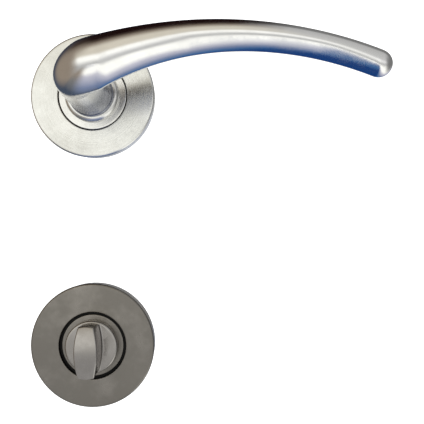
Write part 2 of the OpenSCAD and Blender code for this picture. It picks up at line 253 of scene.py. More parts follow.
def revolve(name, profile, axis_z, closed=True, sharp_angle=32):
    """A turned piece. The profile is a list of (radius, height), closed on itself or ending near the axis."""
    return new_piece(name, *shell([circle(r, z) for r, z in profile], closed), axis_z, sharp_angle)


def arc(cx, cy, r, start, end, steps=8):
    """Points on an arc, from one angle to another in degrees."""
    angles = [math.radians(start + (end - start) * i / steps) for i in range(steps + 1)]
    return [(cx + r * math.cos(a), cy + r * math.sin(a)) for a in angles]


def join(pieces):
    """Joins several pieces into the first."""
    with bpy.context.temp_override(active_object=pieces[0], selected_editable_objects=pieces):
        bpy.ops.object.join()
    return pieces[0]


def combine(obj, others, operation):
    """Cuts pieces from obj, or adds them to it, and deletes them."""
    for other in others:
        modifier = obj.modifiers.new("shape", "BOOLEAN")
        modifier.operation = operation
        modifier.solver = "EXACT"
        modifier.object = other
    bpy.context.view_layer.update()
    shaped = bpy.data.meshes.new_from_object(obj.evaluated_get(bpy.context.evaluated_depsgraph_get()))
    obj.modifiers.clear()
    obj.data = shaped
    for other in others:
        bpy.data.objects.remove(other)
    return finish_mesh(obj)


def block(x0, x1, y0, y1, z0, z1, axis_z):
    """A plain box, used only to cut with."""
    rings = [[(x0, y0, z), (x1, y0, z), (x1, y1, z), (x0, y1, z)] for z in (z0, z1)]
    return new_piece("cutter", *shell(rings), axis_z)


def upright_hole(r, z, reach, axis_z):
    """A round cutter that runs up the door from a piece's axis."""
    n = 48
    rings = [[(x, y, z + dz) for x, dz in arc(0, 0, r, 0, 360 - 360 / n, n - 1)] for y in (0, reach)]
    return new_piece("cutter", *shell(rings), axis_z)


# ---- Lever ---------------------------------------------------------------------------------------------


def arm_slope(s):
    """Slope of the arm at a distance from the elbow."""
    return ARM_RISE - min(s, HALF_ARM) / BOW_INNER_R - max(s - HALF_ARM, 0) / BOW_OUTER_R


def along_bow(start, r, a, b):
    """End of an arc of radius r that starts at a point with slope a and ends with slope b."""
    return start + r * np.array([math.sin(a) - math.sin(b), math.cos(b) - math.cos(a)])


def arm_point(s):
    """Place of the arm's centre line on the door at a distance from the elbow: two arcs in a row."""
    slope = arm_slope(s)
    elbow_end = ELBOW_R * np.array([math.cos(ARM_RISE), math.sin(ARM_RISE)])
    if s <= HALF_ARM:
        return along_bow(elbow_end, BOW_INNER_R, ARM_RISE, slope)
    middle = along_bow(elbow_end, BOW_INNER_R, ARM_RISE, arm_slope(HALF_ARM))
    return along_bow(middle, BOW_OUTER_R, arm_slope(HALF_ARM), slope)


def section_r(u):
    """Half height of the section, at share u of the elbow and arm."""
    if u < SWELL_END:
        return NECK_R + (ELBOW_SECTION_R - NECK_R) * (1 - math.cos(math.pi * u / SWELL_END)) / 2
    return TIP_R + (ELBOW_SECTION_R - TIP_R) * (1 - (u - SWELL_END) / (1 - SWELL_END)) ** TAPER_POWER


FLAT_LEAN = math.radians(118)       # which way the arm's flatter face looks: from up, towards the front
FLAT_START = 0.25                   # share of the elbow and arm where it begins
FLAT_DEPTH = 0.17                   # how much it takes off the section at the tip
FLAT_BLEND = 0.09                   # how softly it meets the rest
FLAT_FADE = 0.22                    # share of the elbow and arm over which it fades out at the tip


def section(u, scale=1.0):
    """Points of the arm's section: (up, off the door). Its lower front is flatter towards the tip."""
    up, out = section_r(u), section_r(u) * (1 + (TIP_DEPTH - 1) * u)
    grown = min(max((u - FLAT_START) / (1 - FLAT_START), 0), 1)
    kept = min(max((1 - u) / FLAT_FADE, 0), 1)
    taken = FLAT_DEPTH * grown * grown * (3 - 2 * grown) * kept * kept * (3 - 2 * kept)
    points = []
    for j in range(ARM_SIDES):
        a = 2 * math.pi * j / ARM_SIDES
        x, y = math.cos(a), math.sin(a)
        beyond = x * math.cos(FLAT_LEAN) + y * math.sin(FLAT_LEAN) - (1 - taken)
        push = FLAT_BLEND * math.log1p(math.exp(beyond / FLAT_BLEND)) if taken > 0 else 0
        push *= min(taken / 0.02, 1)
        x -= push * math.cos(FLAT_LEAN)
        y -= push * math.sin(FLAT_LEAN)
        points.append((scale * up * x, scale * out * y))
    return points


def elbow_ring(t):
    """Ring of the elbow at angle t of its quarter circle."""
    p = ELBOW_R * (1 - math.cos(t))
    height = ARM_H - ELBOW_R + ELBOW_R * math.sin(t)
    centre = np.array([p * math.cos(ARM_RISE), p * math.sin(ARM_RISE), height])
    up = np.array([-math.sin(ARM_RISE), math.cos(ARM_RISE), 0])
    out = np.array([-math.cos(t) * math.cos(ARM_RISE), -math.cos(t) * math.sin(ARM_RISE), math.sin(t)])
    return [centre + a * up + b * out for a, b in section(ELBOW_R * t / SWEEP_L)]


def arm_ring(s, scale=1.0):
    """Ring of the arm at a distance from the elbow."""
    x, y = arm_point(s)
    slope = arm_slope(s)
    centre = np.array([x, y, ARM_H - TIP_RETURN * (s / ARM_L) ** 2])
    up = np.array([-math.sin(slope), math.cos(slope), 0])
    out = np.array([0, 0, 1])
    return [centre + a * up + b * out for a, b in section((ELBOW_L + s) / SWEEP_L, scale)]


def turned_ring(r, z):
    """Ring of the shank and neck, its points in step with the elbow's."""
    up = np.array([-math.sin(ARM_RISE), math.cos(ARM_RISE), 0])
    out = np.array([-math.cos(ARM_RISE), -math.sin(ARM_RISE), 0])
    angles = [2 * math.pi * j / ARM_SIDES for j in range(ARM_SIDES)]
    return [r * math.cos(a) * up + r * math.sin(a) * out + np.array([0, 0, z]) for a in angles]


def make_lever():
    """Shank, foot, neck, elbow and arm: one skin, from the shank's end to the tip."""
    g0, g1, groove_r = GROOVE
    neck_z = BEAD_TOP
    flare = FOOT_R - NECK_FOOT_R
    low = neck_z + 0.6 + flare
    turned = [(SHANK_R - 0.4, SHANK_END), (SHANK_R, SHANK_END + 0.4), (SHANK_R, g0), (groove_r, g0),
              (groove_r, g1), (SHANK_R, g1), (SHANK_R, neck_z), (FOOT_R - 0.15, neck_z),
              (FOOT_R, neck_z + 0.15), (FOOT_R, neck_z + 0.6)]
    turned += arc(FOOT_R, neck_z + 0.6 + flare, flare, 270, 180, 10)[1:]
    for share in np.linspace(0, 1, NECK_STEPS)[1:-1]:
        bulge = NECK_BULGE * math.sin(math.pi * share)
        r = NECK_FOOT_R + (NECK_R - NECK_FOOT_R) * share + bulge
        turned.append((r, low + (ARM_H - ELBOW_R - low) * share))
    rings = [turned_ring(r, z) for r, z in turned]
    rings += [elbow_ring(math.pi / 2 * i / ELBOW_STEPS) for i in range(ELBOW_STEPS + 1)]
    rings += [arm_ring((ARM_L - CAP_L) * i / ARM_STEPS) for i in range(1, ARM_STEPS + 1)]
    for i in range(1, CAP_STEPS + 1):
        v = math.sin(math.pi / 2 * i / CAP_STEPS)
        rings.append(arm_ring(ARM_L - CAP_L + CAP_L * v, max(1 - v ** CAP_POWER, 0.0004) ** 0.5))
    lever = new_piece("lever_body", *shell(rings), LEVER_Z)
    half = SOCKET_W / 2
    cutters = [block(-half, half, -half, half, SHANK_END - 1, SOCKET_TOP, LEVER_Z),
               upright_hole(SET_SCREW_R, SET_SCREW_Z, 12, LEVER_Z),
               block(SHANK_FLAT, 12, -12, 12, SHANK_END - 1, FLAT_TOP, LEVER_Z),
               block(-12, -SHANK_FLAT, -12, 12, SHANK_END - 1, FLAT_TOP, LEVER_Z)]
    return combine(lever, cutters, "DIFFERENCE")


def make_neck_ring():
    """Turned ring at the foot of the neck: a soft step, then a full bead."""
    r = BEAD_R
    profile = [(SHANK_R, BEAD_BACK), (r - 0.15, BEAD_BACK), (r, BEAD_BACK + 0.15), (r, BEAD_BACK + 0.5)]
    profile += arc(r - 1.75, BEAD_TOP - 1.75, 1.75, 0, 100, 14)
    profile += [(SHANK_R + 0.5, BEAD_TOP - 0.22), (SHANK_R + 0.12, BEAD_TOP - 0.16),
                (SHANK_R, BEAD_TOP - 0.3)]
    return revolve("neck_bead", profile, LEVER_Z)


# ---- Roses ---------------------------------------------------------------------------------------------


def make_rose_cover(name, hole_r, axis_z):
    """Pressed cover: a thin wall, a rounded rim, a flat face and a hole with a soft edge."""
    r, top, wall, e = ROSE_R, ROSE_TOP, ROSE_WALL, ROSE_EDGE_R
    inner_e = e - wall / 2
    lip = 0.3
    foot = r - ROSE_DRAFT
    profile = [(r - wall + 0.1, 0), (foot - 0.15, 0), (foot, 0.15)]
    profile += arc(r - e, top - e, e, 0, 90, 16)
    profile += [(r - e - 0.6, top), (hole_r + 3, top), (hole_r + lip + 0.3, top)]
    profile += arc(hole_r + lip, top - lip, lip, 90, 180, 6)
    profile += [(hole_r, top - wall + 0.1), (hole_r + 0.1, top - wall), (hole_r + 3, top - wall)]
    profile += arc(r - wall - inner_e, top - wall - inner_e, inner_e, 90, 0, 8)
    profile += [(r - wall, 0.1)]
    return revolve(name, profile, axis_z)


def make_bearing_ring(name, flange_r, bore_r, top, axis_z):
    """Turned ring: its hub sits in the under-rose, and its flange shows inside the cover's hole."""
    edge = 0.35
    profile = [(bore_r, RING_BACK), (HUB_R - 0.2, RING_BACK), (HUB_R, RING_BACK + 0.2), (HUB_R, HUB_TOP),
               (flange_r - 0.1, HUB_TOP), (flange_r, HUB_TOP + 0.1)]
    profile += arc(flange_r - edge, top - edge, edge, 0, 90, 6)
    profile += [(flange_r - 0.9, top), (bore_r + 1.2, top), (bore_r + 0.5, top), (bore_r + 0.2, top - 0.06),
                (bore_r, top - 0.25)]
    return revolve(name, profile, axis_z)


# ---- Privacy turn --------------------------------------------------------------------------------------


def blade_outline():
    """Outline of the blade and its outward directions: two shallow arcs, and ends that follow the boss."""
    steps = BLADE_STEPS
    reach = BOSS_R - 0.35
    sag = (BLADE_W - BLADE_END_W) / 2
    side_r = (reach ** 2 + sag ** 2) / (2 * sag)
    half_angle = math.degrees(math.asin(reach * 0.962 / side_r))
    right = arc(BLADE_W / 2 - side_r, 0, side_r, -half_angle, half_angle, 2 * steps)
    corner = math.degrees(math.atan2(right[-1][1], right[-1][0]))
    corner_r = math.hypot(*right[-1])
    top = arc(0, 0, corner_r, corner, 180 - corner, steps)[1:-1]
    left = [(-x, -y) for x, y in right]
    bottom = [(-x, -y) for x, y in top]
    outline = np.array(right + top + left + bottom)
    along = np.roll(outline, -1, axis=0) - np.roll(outline, 1, axis=0)
    normal = np.stack([along[:, 1], -along[:, 0]], axis=1)
    return outline, normal / np.linalg.norm(normal, axis=1, keepdims=True)


def make_turn():
    """Boss, shank and blade, one casting."""
    g0, g1, groove_r = TURN_GROOVE
    e = BOSS_ROUND
    profile = [(TURN_SHANK_R - 0.3, TURN_SHANK_END), (TURN_SHANK_R, TURN_SHANK_END + 0.3), (TURN_SHANK_R, g0),
               (groove_r, g0), (groove_r, g1), (TURN_SHANK_R, g1), (TURN_SHANK_R, BOSS_BACK),
               (BOSS_R - 0.15, BOSS_BACK), (BOSS_R, BOSS_BACK + 0.15)]
    profile += arc(BOSS_R - e, BOSS_TOP - e, e, 0, 90, 10)
    profile += [(BOSS_R - e - 0.5, BOSS_TOP), (6, BOSS_TOP), (0.01, BOSS_TOP)]
    boss = revolve("turn_body", profile, TURN_Z, closed=False)

    outline, outward = blade_outline()
    crown_r = (BOSS_R ** 2 + BLADE_CROWN ** 2) / (2 * BLADE_CROWN)
    limit = BOSS_R - e

    def crown(y):
        return BLADE_TOP - y * y / (2 * crown_r)

    def level(out, drop, from_top):
        """A ring of the blade, moved outwards and placed above the boss or below the crown."""
        p = outline + out * outward
        reach = np.linalg.norm(p, axis=1)
        if not from_top:
            p = p * np.minimum(limit / reach, 1)[:, None]
        z = [crown(y) - drop if from_top else BOSS_TOP + drop for y in p[:, 1]]
        return np.column_stack([p, z])

    rings = [level(BLADE_FILLET, -1, False)]
    for i in range(7):
        a = math.pi / 2 * i / 6
        rings.append(level(BLADE_FILLET * (1 - math.sin(a)), BLADE_FILLET * (1 - math.cos(a)), False))
    rings.append(level(0, BLADE_FILLET + 1, False))
    for i in range(7):
        a = math.pi / 2 * i / 6
        rings.append(level(-BLADE_ROUND * (1 - math.cos(a)), BLADE_ROUND * (1 - math.sin(a)), True))
    edge = rings[-1]
    for share in (0.96, 0.75, 0.5, 0.25, 0.02):
        x = edge[:, 0] * share
        y = edge[:, 1] * (0.75 + 0.25 * share)
        rings.append(np.column_stack([x, y, [crown(v) for v in y]]))
    points, faces = shell(rings)
    last = faces.pop()[0]
    side, end = 2 * BLADE_STEPS + 1, BLADE_STEPS - 1
    left = last + side + end
    for i in range(side - 1):
        faces.append((last + i, last + i + 1, left + side - 2 - i, left + side - 1 - i))
    faces.append(tuple(range(last + side - 1, left + 1)))
    faces.append((*range(left + side - 1, left + side + end), last))
    blade = new_piece("blade", points, faces, TURN_Z, sharp_angle=40)
    turn = combine(boss, [blade], "UNION")
    half = TURN_SOCKET_W / 2
    cutters = [block(-half, half, -half, half, TURN_SHANK_END - 1, TURN_SOCKET_TOP, TURN_Z),
               upright_hole(TURN_SET_SCREW_R, TURN_SET_SCREW_Z, 9, TURN_Z)]
    return combine(turn, cutters, "DIFFERENCE")


# ---- Fasteners, spring and washer ----------------------------------------------------------------------


def thread(x, y, core_r, crest_r, pitch, top, end, taper, axis_z):
    """A threaded shaft along the bench's z. Each row of points follows the helix, so its crest is clean."""
    n = 24
    shape = [(0, 0), (0.22, 0), (0.45, 1), (0.57, 1), (0.8, 0)]
    turns = int((top - end) / pitch) + 2
    rows = [(turn + share, height) for turn in range(turns) for share, height in shape]
    rings = []
    for place, height in rows:
        ring = []
        for j in range(n):
            z = top + pitch - pitch * (place + j / n)
            left = min(max((z - end) / taper, 0), 1)
            r = (core_r + (crest_r - core_r) * height) * (0.35 + 0.65 * left)
            a = 2 * math.pi * j / n
            ring.append((x + r * math.cos(a), y + r * math.sin(a), min(max(z, end), top)))
        rings.append(ring)
    points = [p for ring in rings for p in ring]
    per_turn = len(shape)
    faces = []
    for i in range(len(rings) - 1):
        for j in range(n - 1):
            a = i * n + j
            faces.append((a, a + 1, a + n + 1, a + n))
        if i >= per_turn:
            last = (i - per_turn) * n + n - 1
            faces.append((last, i * n, (i + 1) * n, last + n))
    return new_piece("thread", points, faces, axis_z, sharp_angle=25)


def screw_head(x, y, neck_r, neck_z, axis_z):
    """Countersunk head with a cross recess, and the plain shank under it."""
    head = revolve("head", [(0.01, HEAD_TOP), (HEAD_R - 0.15, HEAD_TOP), (HEAD_R, HEAD_TOP - 0.12),
                            (neck_r, HEAD_TOP - HEAD_R + neck_r), (neck_r, neck_z), (0.01, neck_z)],
                   axis_z, closed=False)
    for vertex in head.data.vertices:
        vertex.co.x += x * MM
        vertex.co.z += y * MM
    arms = [block(x - 2.1, x + 2.1, y - 0.45, y + 0.45, HEAD_TOP - 1.3, HEAD_TOP + 1, axis_z),
            block(x - 0.45, x + 0.45, y - 2.1, y + 2.1, HEAD_TOP - 1.3, HEAD_TOP + 1, axis_z)]
    return combine(head, arms, "DIFFERENCE")


def make_bolts(name, node, axis_z):
    """Two through bolts, left and right of the axis."""
    end = back(node)
    parts = []
    for x in (-FIXING_R, FIXING_R):
        parts.append(screw_head(x, 0, BOLT_SHANK_R, BOLT_THREAD_TOP - 0.2, axis_z))
        parts.append(thread(x, 0, BOLT_CORE_R, BOLT_R, BOLT_PITCH, BOLT_THREAD_TOP, end, 0.7, axis_z))
    piece = join(parts)
    piece.name = name
    return piece


def make_wood_screws(name, node, axis_z):
    """Two pointed wood screws, above and below the axis."""
    end = back(node)
    parts = []
    for y in (-FIXING_R, FIXING_R):
        parts.append(screw_head(0, y, WOOD_R, WOOD_NECK, axis_z))
        parts.append(thread(0, y, WOOD_CORE_R, WOOD_R, WOOD_PITCH, WOOD_NECK + 0.1, end, 4, axis_z))
    piece = join(parts)
    piece.name = name
    return piece


def rounded_route(points, passes=3):
    """Cuts the corners of a route several times, which turns each bend into a smooth curve."""
    route = [np.array(p, float) for p in points]
    for _ in range(passes):
        cut = [route[0]]
        for a, b in zip(route, route[1:]):
            cut += [a * 0.75 + b * 0.25, a * 0.25 + b * 0.75]
        route = cut + [route[-1]]
    return route


def make_spring():
    """Torsion return spring: its coil and two legs, as one swept wire."""
    fixed = LEG_ANGLE + 2 * math.pi * COIL_TURNS
    rise = COIL_PITCH * COIL_TURNS

    def at(r, a, z):
        return (r * math.cos(a), r * math.sin(a), z)

    coil = [at(COIL_R, fixed - 2 * math.pi * COIL_TURNS * t, COIL_Z + rise * t)
            for t in np.linspace(0, 1, COIL_STEPS)]
    route = rounded_route([at(LEG_OUT_R, fixed, COIL_Z), at(COIL_R + 1.2, fixed, COIL_Z)] + coil
                          + [at(COIL_R - 1.2, LEG_ANGLE, COIL_Z + rise),
                             at(LEG_IN_R, LEG_ANGLE, COIL_Z + rise)], 2)
    rings = []
    for i, point in enumerate(route):
        ahead = route[min(i + 1, len(route) - 1)] - route[max(i - 1, 0)]
        ahead /= np.linalg.norm(ahead)
        side = np.cross([0, 0, 1], ahead)
        side /= np.linalg.norm(side)
        up = np.cross(ahead, side)
        angles = [2 * math.pi * j / WIRE_SIDES for j in range(WIRE_SIDES)]
        rings.append([point + WIRE_R * (math.cos(a) * side + math.sin(a) * up) for a in angles])
    return new_piece("coil_spring", *shell(rings), LEVER_Z)


def make_wave_washer():
    """Spring washer, bent into a wave between its circlip and the bush."""
    low, high = back("turn_wave_washer"), front("turn_wave_washer")
    inner, outer = TURN_SHANK_R + 0.15, outer_radius("turn_wave_washer")
    thick = 0.28
    swing = (high - low - thick) / 2
    rings = []
    for r, side in ((inner, -1), (outer, -1), (outer, 1), (inner, 1)):
        ring = []
        for j in range(SIDES):
            a = 2 * math.pi * j / SIDES
            z = (low + high) / 2 + swing * math.cos(WASHER_TURNS * a) + side * thick / 2
            ring.append((r * math.cos(a), r * math.sin(a), z))
        rings.append(ring)
    return new_piece("wave_washer", *shell(rings, closed=True), TURN_Z)


# ---- Materials -----------------------------------------------------------------------------------------


class Graph:
    """A node tree with short ways to add and wire nodes."""

    def __init__(self, tree):
        self.tree = tree
        tree.nodes.clear()

    def add(self, kind, **settings):
        node = self.tree.nodes.new(kind)
        for key, value in settings.items():
            setattr(node, key, value)
        return node

    def link(self, source, target):
        self.tree.links.new(source, target)

    def math(self, operation, *inputs, clamp=False):
        node = self.add("ShaderNodeMath", operation=operation, use_clamp=clamp)
        for i, value in enumerate(inputs):
            if isinstance(value, (int, float)):
                node.inputs[i].default_value = value
            else:
                self.link(value, node.inputs[i])
        return node.outputs[0]

    def smooth(self, value, low, high, to_low=0.0, to_high=1.0):
        """Maps a value smoothly from one range to another."""
        node = self.add("ShaderNodeMapRange", interpolation_type="SMOOTHSTEP")
        self.link(value, node.inputs["Value"])
        for name, number in (("From Min", low), ("From Max", high), ("To Min", to_low), ("To Max", to_high)):
            node.inputs[name].default_value = number
        return node.outputs["Result"]

    def mix(self, factor, a, b):
        node = self.add("ShaderNodeMix", data_type="RGBA")
        self.link(factor, node.inputs["Factor"])
        for index, value in ((6, a), (7, b)):
            if isinstance(value, tuple):
                node.inputs[index].default_value = (*value, 1)
            else:
                self.link(value, node.inputs[index])
        return node.outputs[2]

    def noise(self, vector, scale, detail=4.0, roughness=0.5):
        node = self.add("ShaderNodeTexNoise")
        self.link(vector, node.inputs["Vector"])
        node.inputs["Scale"].default_value = scale
        node.inputs["Detail"].default_value = detail
        node.inputs["Roughness"].default_value = roughness
        return node.outputs["Fac"]


def start_material(name):
    """A material with its graph, principled shader and the object's coordinates in metres."""
    material = bpy.data.materials.new(name)
    material.use_nodes = True
    graph = Graph(material.node_tree)
    shader = graph.add("ShaderNodeBsdfPrincipled")
    output = graph.add("ShaderNodeOutputMaterial")
    graph.link(shader.outputs[0], output.inputs["Surface"])
    place = graph.add("ShaderNodeTexCoord").outputs["Object"]
    return material, graph, shader, place


def add_bump(graph, shader, heights, distance):
    """Bump from one or more (height, strength) pairs, one after the other."""
    normal = None
    for height, strength in heights:
        bump = graph.add("ShaderNodeBump")
        bump.inputs["Strength"].default_value = strength
        bump.inputs["Distance"].default_value = distance
        graph.link(height, bump.inputs["Height"])
        if normal:
            graph.link(normal, bump.inputs["Normal"])
        normal = bump.outputs[0]
    graph.link(normal, shader.inputs["Normal"])


def radius_from_axis(graph, place, axis_z):
    """Distance of a point from a rose's axis, in metres."""
    parts = graph.add("ShaderNodeSeparateXYZ")
    graph.link(place, parts.inputs[0])
    up = graph.math("SUBTRACT", parts.outputs["Z"], axis_z * MM)
    square = graph.math("ADD", graph.math("MULTIPLY", parts.outputs["X"], parts.outputs["X"]),
                        graph.math("MULTIPLY", up, up))
    return graph.math("SQRT", square)


# Painted shade: the black painted on the walls of the gaps round the bearing rings, for the shadow in them.
GAP_SHADE = (0.02, 0.02, 0.02)
GAP_SHADE_EDGE = 0.03


def satin_metal(name, colour, worn, roughness, grain=0.04, axis_z=None, rings=0.0, spread=0.0, dull=None,
                shaded_gap=None):
    """Satin plated metal: a fine blasted grain, soft cloudy wear, and turning marks round an axis.

    spread draws reflections out across the turning marks. dull is (from, to, colour, roughness): heights off
    the door between which the metal goes from its own finish to a rougher one, as hands don't polish it
    there, and to a darker, bluer colour: painted dark reflection.
    seam is (inner, outer): the gap round a bearing ring, whose walls are painted black: painted shade for the
    shadow down in the gap.
    """
    material, graph, shader, place = start_material(name)
    cloud = graph.noise(place, 90, 3, 0.6)
    speck = graph.noise(place, 1400, 2, 0.7)
    wear = graph.smooth(cloud, 0.42, 0.72)
    tone = graph.mix(wear, colour, worn)
    shader.inputs["Metallic"].default_value = 1
    graph.link(tone, shader.inputs["Base Color"])
    rough = graph.math("ADD", graph.smooth(cloud, 0.3, 0.7, roughness + 0.03, roughness - 0.03),
                       graph.smooth(speck, 0.35, 0.65, -0.025, 0.025))
    # Painted dark reflection: up the neck the colour goes darker and bluer, for the dark things the neck
    # reflects; the roughness rises there too.
    if dull:
        start, end, painted_neck_shade, dull_roughness = dull
        parts = graph.add("ShaderNodeSeparateXYZ")
        graph.link(place, parts.inputs[0])
        amount = graph.smooth(parts.outputs["Y"], -start * MM, -end * MM)
        graph.link(graph.mix(amount, tone, painted_neck_shade), shader.inputs["Base Color"])
        extra = graph.math("MULTIPLY", amount, dull_roughness - roughness)
        rough = graph.math("ADD", rough, extra)
    heights = [(graph.noise(place, 5200, 3, 0.65), grain)]
    if axis_z is not None:
        radius = radius_from_axis(graph, place, axis_z)
        line = graph.add("ShaderNodeTexNoise", noise_dimensions="1D")
        graph.link(radius, line.inputs["W"])
        line.inputs["Scale"].default_value = 2600
        line.inputs["Detail"].default_value = 3
        heights.append((line.outputs["Fac"], rings))
        rough = graph.math("ADD", rough, graph.smooth(line.outputs["Fac"], 0.35, 0.65, -0.03, 0.03))
        # Painted shade: between these radii the walls of the gap are painted black, for the shadow down in
        # the gap.
        if shaded_gap:
            inside = graph.math("MULTIPLY", graph.math("GREATER_THAN", radius, (shaded_gap[0] - GAP_SHADE_EDGE) * MM),
                                graph.math("LESS_THAN", radius, (shaded_gap[1] + GAP_SHADE_EDGE) * MM))
            graph.link(graph.mix(inside, tone, GAP_SHADE), shader.inputs["Base Color"])
        if spread:
            outward = graph.add("ShaderNodeVectorMath", operation="SUBTRACT")
            graph.link(place, outward.inputs[0])
            outward.inputs[1].default_value = (0, 0, axis_z * MM)
            tangent = graph.add("ShaderNodeVectorMath", operation="NORMALIZE")
            graph.link(outward.outputs[0], tangent.inputs[0])
            graph.link(tangent.outputs[0], shader.inputs["Tangent"])
            shader.inputs["Anisotropic"].default_value = spread
    graph.link(rough, shader.inputs["Roughness"])
    add_bump(graph, shader, heights, 0.00006)
    return material


def zinc_casting(name):
    """Die-cast zinc: dull grey, a sandy skin and darker patches. Its front shows only through the gaps."""
    material, graph, shader, place = start_material(name)
    patch = graph.noise(place, 160, 5, 0.6)
    tone = graph.mix(graph.smooth(patch, 0.35, 0.65), (0.26, 0.27, 0.28), (0.42, 0.43, 0.44))
    parts = graph.add("ShaderNodeSeparateXYZ")
    graph.link(place, parts.inputs[0])
    # Painted shade: near its top the front face is painted black, for the shadow seen through the gaps.
    painted_gap_shade = graph.smooth(parts.outputs["Y"], -(HUB_TOP - 0.4) * MM, -(HUB_TOP - 0.1) * MM)
    graph.link(graph.mix(painted_gap_shade, tone, GAP_SHADE), shader.inputs["Base Color"])
    shader.inputs["Metallic"].default_value = 1
    graph.link(graph.smooth(patch, 0.3, 0.7, 0.62, 0.48), shader.inputs["Roughness"])
    add_bump(graph, shader, [(graph.noise(place, 900, 4, 0.7), 0.5), (patch, 0.25)], 0.0002)
    return material


def plated_steel(name, colour, tint, roughness):
    """Drawn and plated steel: lengthwise drawing marks and a faint tint in the plating."""
    material, graph, shader, place = start_material(name)
    stretch = graph.add("ShaderNodeMapping")
    stretch.inputs["Scale"].default_value = (1, 0.04, 1)
    graph.link(place, stretch.inputs["Vector"])
    draw = graph.noise(stretch.outputs[0], 2600, 3, 0.6)
    cloud = graph.noise(place, 220, 3, 0.6)
    graph.link(graph.mix(graph.smooth(cloud, 0.38, 0.66), colour, tint), shader.inputs["Base Color"])
    shader.inputs["Metallic"].default_value = 1
    graph.link(graph.smooth(draw, 0.3, 0.7, roughness - 0.05, roughness + 0.07), shader.inputs["Roughness"])
    add_bump(graph, shader, [(draw, 0.25), (cloud, 0.1)], 0.00008)
    return material


def moulded_nylon(name):
    """Natural nylon: ivory, a little translucent, with a fine moulded skin."""
    material, graph, shader, place = start_material(name)
    cloud = graph.noise(place, 180, 3, 0.5)
    graph.link(graph.mix(graph.smooth(cloud, 0.35, 0.65), (0.76, 0.73, 0.64), (0.86, 0.84, 0.77)),
               shader.inputs["Base Color"])
    graph.link(graph.smooth(cloud, 0.3, 0.7, 0.42, 0.52), shader.inputs["Roughness"])
    shader.inputs["Subsurface Weight"].default_value = 0.15
    shader.inputs["Subsurface Radius"].default_value = (0.002, 0.0018, 0.0014)
    add_bump(graph, shader, [(graph.noise(place, 2600, 3, 0.6), 0.2)], 0.00008)
    return material


def pale_floor(name):
    """Pale and matte, with a faint glow of its own, as the room above it is dark."""
    material, graph, shader, place = start_material(name)
    shader.inputs["Emission Color"].default_value = (1, 1, 0.99, 1)
    shader.inputs["Emission Strength"].default_value = 0.45
    cloud = graph.noise(place, 6, 3, 0.5)
    graph.link(graph.mix(cloud, (0.80, 0.80, 0.79), (0.84, 0.84, 0.83)), shader.inputs["Base Color"])
    shader.inputs["Roughness"].default_value = 0.8
    return material


# ---- Studio --------------------------------------------------------------------------------------------


# The room's colours, in round numbers. They may be brighter than white.
GLARE = (1.2, 1.2, 1.15)
WHITE = (0.9, 0.9, 0.9)
PALE = (0.6, 0.6, 0.6)
GREY = (0.5, 0.5, 0.5)
SHADE = (0.2, 0.2, 0.2)
LILAC = (0.6, 0.6, 0.7)
STEEL_BLUE = (0.2, 0.25, 0.4)
BLUE = (0.05, 0.15, 0.35)
DEEP_BLUE = (0.01, 0.05, 0.2)
SLATE = (0.06, 0.08, 0.12)
CREAM = (0.7, 0.65, 0.55)
TAUPE = (0.3, 0.25, 0.2)
BROWN = (0.06, 0.04, 0.03)
BLACK = (0.01, 0.003, 0.003)

# Where they are by angle: 0 is straight in front of the set, 90 above it and -90 below it
ABOVE_LEFT = [(-16, GREY), (0, GLARE), (10, GLARE), (22, CREAM), (45, CREAM), (62, TAUPE), (78, BROWN),
              (92, BLACK), (130, BLACK), (180, SLATE)]
ABOVE_RIGHT = [(-15, PALE), (0, WHITE), (18, PALE), (84, GREY), (97, SHADE)]
FAR_LEFT = [(-120, SLATE), (-90, TAUPE), (-20, GREY), (3, GLARE), (14, GLARE), (26, CREAM), (66, TAUPE),
            (100, BROWN), (180, SLATE)]
BELOW_LEFT = [(-120, SLATE), (-65, SHADE), (-40, GREY)]
# Below, they fan out from the front: 0 is the edge of the part above, and 1 is well inside the blue
BELOW = [(0, GREY), (0.12, GLARE), (0.32, GLARE), (0.5, LILAC), (1, STEEL_BLUE), (2, BLUE), (4, DEEP_BLUE)]
LEFT_END = TAUPE
RIGHT_END = SHADE
BEHIND = WHITE
FAN_START = -20
FAN_LEAST = 8
FAN_SPREAD = 350
ROOM_LIGHT = 1.5                    # the room's strength, which its nodes' colours are divided by


def dimmed(colour):
    """A colour, which may be brighter than white, as the room's nodes hold it."""
    return tuple(c / ROOM_LIGHT for c in colour)


def colour_ramp(graph, value, stops):
    """Colours along a value, from (value, colour) pairs."""
    low, high = stops[0][0], stops[-1][0]
    ramp = graph.add("ShaderNodeValToRGB")
    ramp.color_ramp.interpolation = "LINEAR"
    elements = ramp.color_ramp.elements
    elements.remove(elements[1])
    for i, (place, colour) in enumerate(stops):
        position = (place - low) / (high - low)
        element = elements[0] if i == 0 else elements.new(position)
        element.position = position
        element.color = (*dimmed(colour), 1)
    share = graph.math("DIVIDE", graph.math("SUBTRACT", value, low), high - low, clamp=True)
    graph.link(share, ramp.inputs[0])
    return ramp.outputs["Color"]


